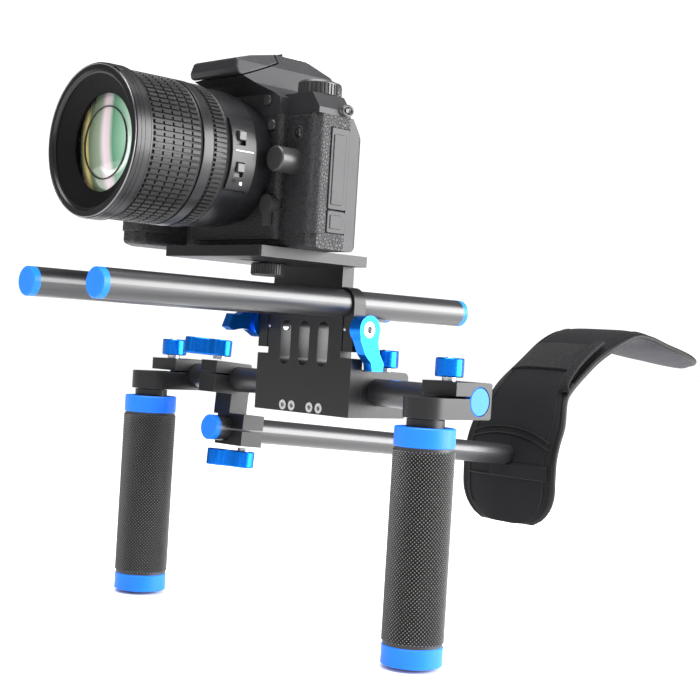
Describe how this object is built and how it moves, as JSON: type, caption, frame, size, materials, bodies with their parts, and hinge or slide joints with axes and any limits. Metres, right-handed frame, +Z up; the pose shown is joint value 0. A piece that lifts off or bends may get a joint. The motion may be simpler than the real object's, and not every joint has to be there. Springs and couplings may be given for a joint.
{
  "type": "shoulder rig with camera",
  "caption": "Shoulder-mount video rig on 15 mm rods with two drop handles, a hooked shoulder pad and a still camera with zoom lens.",
  "frame": {"origin": "midway between the axes of the two top rods, on the front face of the slotted plate", "axes": "+Z up, +Y back towards the operator along the rods, +X towards the operator's left"},
  "size_m": [0.2664, 0.66, 0.3111],
  "materials": {
    "black_anodised": "satin black anodised",
    "rod_black": "satin black anodised tube",
    "azure_cap": "satin azure anodised",
    "azure_lever": "polished azure anodised",
    "steel": "plated screw steel",
    "black_knurl": "black knurled metal",
    "grip_rubber": "diamond knurled rubber",
    "neoprene": "black neoprene with knit face",
    "hook_loop": "hook and loop strap",
    "stiffener": "bare sheet",
    "camera_shell": "fine textured black",
    "camera_leatherette": "grained rubber skin",
    "camera_controls": "moulded black",
    "lens_black": "black satin barrel",
    "lens_rubber": "ribbed rubber ring",
    "coated_glass": "coated optical glass",
    "screen_glass": "glossy display cover",
    "mount_steel": "machined steel"
  },
  "bodies": {
    "frame": {"slotted_plate": "black_anodised", "rod_block": "black_anodised", "plate_screws": "steel", "camera_plate": "black_anodised", "camera_front_cover": "camera_leatherette", "camera_rear_cover": "camera_shell", "camera_top_cover": "camera_shell", "hot_shoe": "mount_steel", "lens_mount": "mount_steel", "lens_barrel": "lens_black", "rear_screen": "screen_glass", "eyecup": "camera_leatherette"},
    "top_rod_left": {"top_rod_left": "rod_black", "top_rod_left_caps": "azure_cap"},
    "top_rod_right": {"top_rod_right": "rod_black", "top_rod_right_caps": "azure_cap"},
    "ratchet_lever_left": {"ratchet_lever_left": "azure_lever", "ratchet_screw_left": "steel"},
    "ratchet_lever_right": {"ratchet_lever_right": "azure_lever", "ratchet_screw_right": "steel"},
    "camera_thumbscrew": {"camera_thumbscrew": "black_knurl"},
    "block_knob": {"block_knob": "azure_lever"},
    "cross_rod": {"cross_rod": "rod_black", "cross_rod_caps": "azure_cap"},
    "handle_left": {"handle_left_arm": "black_anodised", "handle_left_core": "black_anodised", "handle_left_rings": "azure_cap", "handle_left_grip": "grip_rubber"},
    "handle_left_knob": {"handle_left_knob": "azure_lever"},
    "handle_right": {"handle_right_arm": "black_anodised", "handle_right_core": "black_anodised", "handle_right_rings": "azure_cap", "handle_right_grip": "grip_rubber"},
    "handle_right_knob": {"handle_right_knob": "azure_lever"},
    "shoulder_clamp": {"shoulder_clamp": "black_anodised"},
    "shoulder_upper_knob": {"shoulder_upper_knob": "azure_lever"},
    "shoulder_lower_knob": {"shoulder_lower_knob": "azure_lever"},
    "shoulder_rod": {"shoulder_rod": "rod_black", "shoulder_rod_cap": "azure_cap", "pad_plate": "stiffener", "shoulder_pad": "neoprene", "pad_strap": "hook_loop"},
    "lens_front": {"lens_front_barrel": "lens_black", "front_glass": "coated_glass"},
    "popup_flash": {"popup_flash": "camera_shell"},
    "mode_dial": {"mode_dial": "camera_controls"},
    "shutter_button": {"shutter_button": "camera_controls"},
    "power_ring": {"power_ring": "camera_controls"},
    "rear_dial": {"rear_dial": "camera_controls"},
    "lens_release_button": {"lens_release_button": "camera_controls"},
    "focus_mode_lever": {"focus_mode_lever": "camera_controls"},
    "flash_button": {"flash_button": "camera_controls"},
    "bracket_button": {"bracket_button": "camera_controls"},
    "port_cover": {"port_cover": "camera_shell"},
    "card_door": {"card_door": "camera_shell"},
    "menu_buttons": {"menu_buttons": "camera_controls"},
    "selector_pad": {"selector_pad": "camera_controls"},
    "zoom_ring": {"zoom_ring": "lens_rubber"},
    "focus_ring": {"focus_ring": "lens_rubber"},
    "lens_switches": {"lens_switches": "camera_controls"}
  },
  "joints": [
    {"name": "top_rod_left_slide", "type": "slide", "parent": "frame", "child": "top_rod_left", "axis": [0, 1, 0], "range_m": [-0.05, 0.05]},
    {"name": "top_rod_right_slide", "type": "slide", "parent": "frame", "child": "top_rod_right", "axis": [0, 1, 0], "range_m": [-0.05, 0.05]},
    {"name": "ratchet_lever_left_turn", "type": "hinge", "parent": "frame", "child": "ratchet_lever_left", "pos_m": [0.0437, 0.00425, -0.0134], "axis": [1, 0, 0], "range_deg": [-110, 5]},
    {"name": "ratchet_lever_right_turn", "type": "hinge", "parent": "frame", "child": "ratchet_lever_right", "pos_m": [-0.0437, 0.00425, -0.0134], "axis": [1, 0, 0], "range_deg": [-70, 110]},
    {"name": "camera_thumbscrew_turn", "type": "hinge", "parent": "frame", "child": "camera_thumbscrew", "pos_m": [0, -0.0294, 0.016], "axis": [0, 0, 1], "continuous": true},
    {"name": "block_knob_turn", "type": "hinge", "parent": "frame", "child": "block_knob", "pos_m": [0.028, 0.037, -0.03], "axis": [0, 0, 1], "continuous": true},
    {"name": "cross_rod_slide", "type": "slide", "parent": "frame", "child": "cross_rod", "axis": [1, 0, 0], "range_m": [-0.015, 0.015]},
    {"name": "handle_left_pitch", "type": "hinge", "parent": "cross_rod", "child": "handle_left", "pos_m": [0.1014, 0.02125, -0.0472], "axis": [1, 0, 0], "range_deg": [-90, 90]},
    {"name": "handle_right_pitch", "type": "hinge", "parent": "cross_rod", "child": "handle_right", "pos_m": [-0.132, 0.02125, -0.0472], "axis": [1, 0, 0], "range_deg": [-90, 90]},
    {"name": "handle_left_knob_turn", "type": "hinge", "parent": "handle_left", "child": "handle_left_knob", "pos_m": [0.1014, 0.01, -0.03], "axis": [0, 0, 1], "continuous": true},
    {"name": "handle_right_knob_turn", "type": "hinge", "parent": "handle_right", "child": "handle_right_knob", "pos_m": [-0.132, 0.01, -0.03], "axis": [0, 0, 1], "continuous": true},
    {"name": "shoulder_arm_pitch", "type": "hinge", "parent": "cross_rod", "child": "shoulder_clamp", "pos_m": [-0.0875, 0.02125, -0.0472], "axis": [1, 0, 0], "range_deg": [-35, 35]},
    {"name": "shoulder_upper_knob_turn", "type": "hinge", "parent": "shoulder_clamp", "child": "shoulder_upper_knob", "pos_m": [-0.0875, 0.01121, -0.02927], "axis": [0, 0.0685, 0.9976], "continuous": true},
    {"name": "shoulder_lower_knob_turn", "type": "hinge", "parent": "shoulder_clamp", "child": "shoulder_lower_knob", "pos_m": [-0.0724, 0.02138, -0.09412], "axis": [0, 0.0685, 0.9976], "continuous": true},
    {"name": "shoulder_rod_slide", "type": "slide", "parent": "shoulder_clamp", "child": "shoulder_rod", "axis": [0, 0.9976, -0.0685], "range_m": [-0.13, 0.008]},
    {"name": "popup_flash_lift", "type": "hinge", "parent": "frame", "child": "popup_flash", "pos_m": [0, -0.0445, 0.1287], "axis": [-1, 0, 0], "range_deg": [0, 60]},
    {"name": "mode_dial_turn", "type": "hinge", "parent": "frame", "child": "mode_dial", "pos_m": [0.042, -0.0385, 0.1088], "axis": [0, 0, 1], "continuous": true},
    {"name": "shutter_button_press", "type": "slide", "parent": "frame", "child": "shutter_button", "axis": [0, 0, -1], "range_m": [0, 0.0012], "stiffness_N_per_m": 1500},
    {"name": "power_ring_turn", "type": "hinge", "parent": "frame", "child": "power_ring", "pos_m": [-0.06, -0.068, 0.1007], "axis": [0, 0, 1], "range_deg": [0, 40]},
    {"name": "rear_dial_turn", "type": "hinge", "parent": "frame", "child": "rear_dial", "pos_m": [-0.053, -0.0264, 0.0877], "axis": [0, 0, 1], "continuous": true},
    {"name": "lens_release_press", "type": "slide", "parent": "frame", "child": "lens_release_button", "axis": [0, 1, 0], "range_m": [0, 0.002], "stiffness_N_per_m": 1500},
    {"name": "focus_mode_turn", "type": "hinge", "parent": "frame", "child": "focus_mode_lever", "pos_m": [0.031, -0.058, 0.0475], "axis": [0, 1, 0], "range_deg": [-25, 0]},
    {"name": "flash_button_press", "type": "slide", "parent": "frame", "child": "flash_button", "axis": [0, 1, 0], "range_m": [0, 0.0007], "stiffness_N_per_m": 1500},
    {"name": "bracket_button_press", "type": "slide", "parent": "frame", "child": "bracket_button", "axis": [0, 1, 0], "range_m": [0, 0.0007], "stiffness_N_per_m": 1500},
    {"name": "port_cover_open", "type": "hinge", "parent": "frame", "child": "port_cover", "pos_m": [0.0586, -0.0292, 0.061], "axis": [0, 0, 1], "range_deg": [0, 90]},
    {"name": "card_door_open", "type": "hinge", "parent": "frame", "child": "card_door", "pos_m": [-0.0745, -0.0292, 0.063], "axis": [0, 0, -1], "range_deg": [0, 90]},
    {"name": "menu_buttons_press", "type": "slide", "parent": "frame", "child": "menu_buttons", "axis": [0, -1, 0], "range_m": [0, 0.0007], "stiffness_N_per_m": 1500},
    {"name": "selector_pad_press", "type": "slide", "parent": "frame", "child": "selector_pad", "axis": [0, -1, 0], "range_m": [0, 0.0007], "stiffness_N_per_m": 1500},
    {"name": "zoom_ring_turn", "type": "hinge", "parent": "frame", "child": "zoom_ring", "pos_m": [0, -0.12, 0.0697], "axis": [0, 1, 0], "range_deg": [0, 75]},
    {"name": "lens_front_extend", "type": "slide", "parent": "frame", "child": "lens_front", "axis": [0, -1, 0], "range_m": [0, 0.032]},
    {"name": "focus_ring_turn", "type": "hinge", "parent": "frame", "child": "focus_ring", "pos_m": [0, -0.095, 0.0697], "axis": [0, 1, 0], "range_deg": [-60, 60]},
    {"name": "lens_switches_slide", "type": "slide", "parent": "frame", "child": "lens_switches", "axis": [0, 0, -1], "range_m": [0, 0.002]}
  ],
  "couplings": [
    {"joint": "lens_front_extend", "follows": "zoom_ring_turn", "m_per_rad": 0.024422}
  ]
}
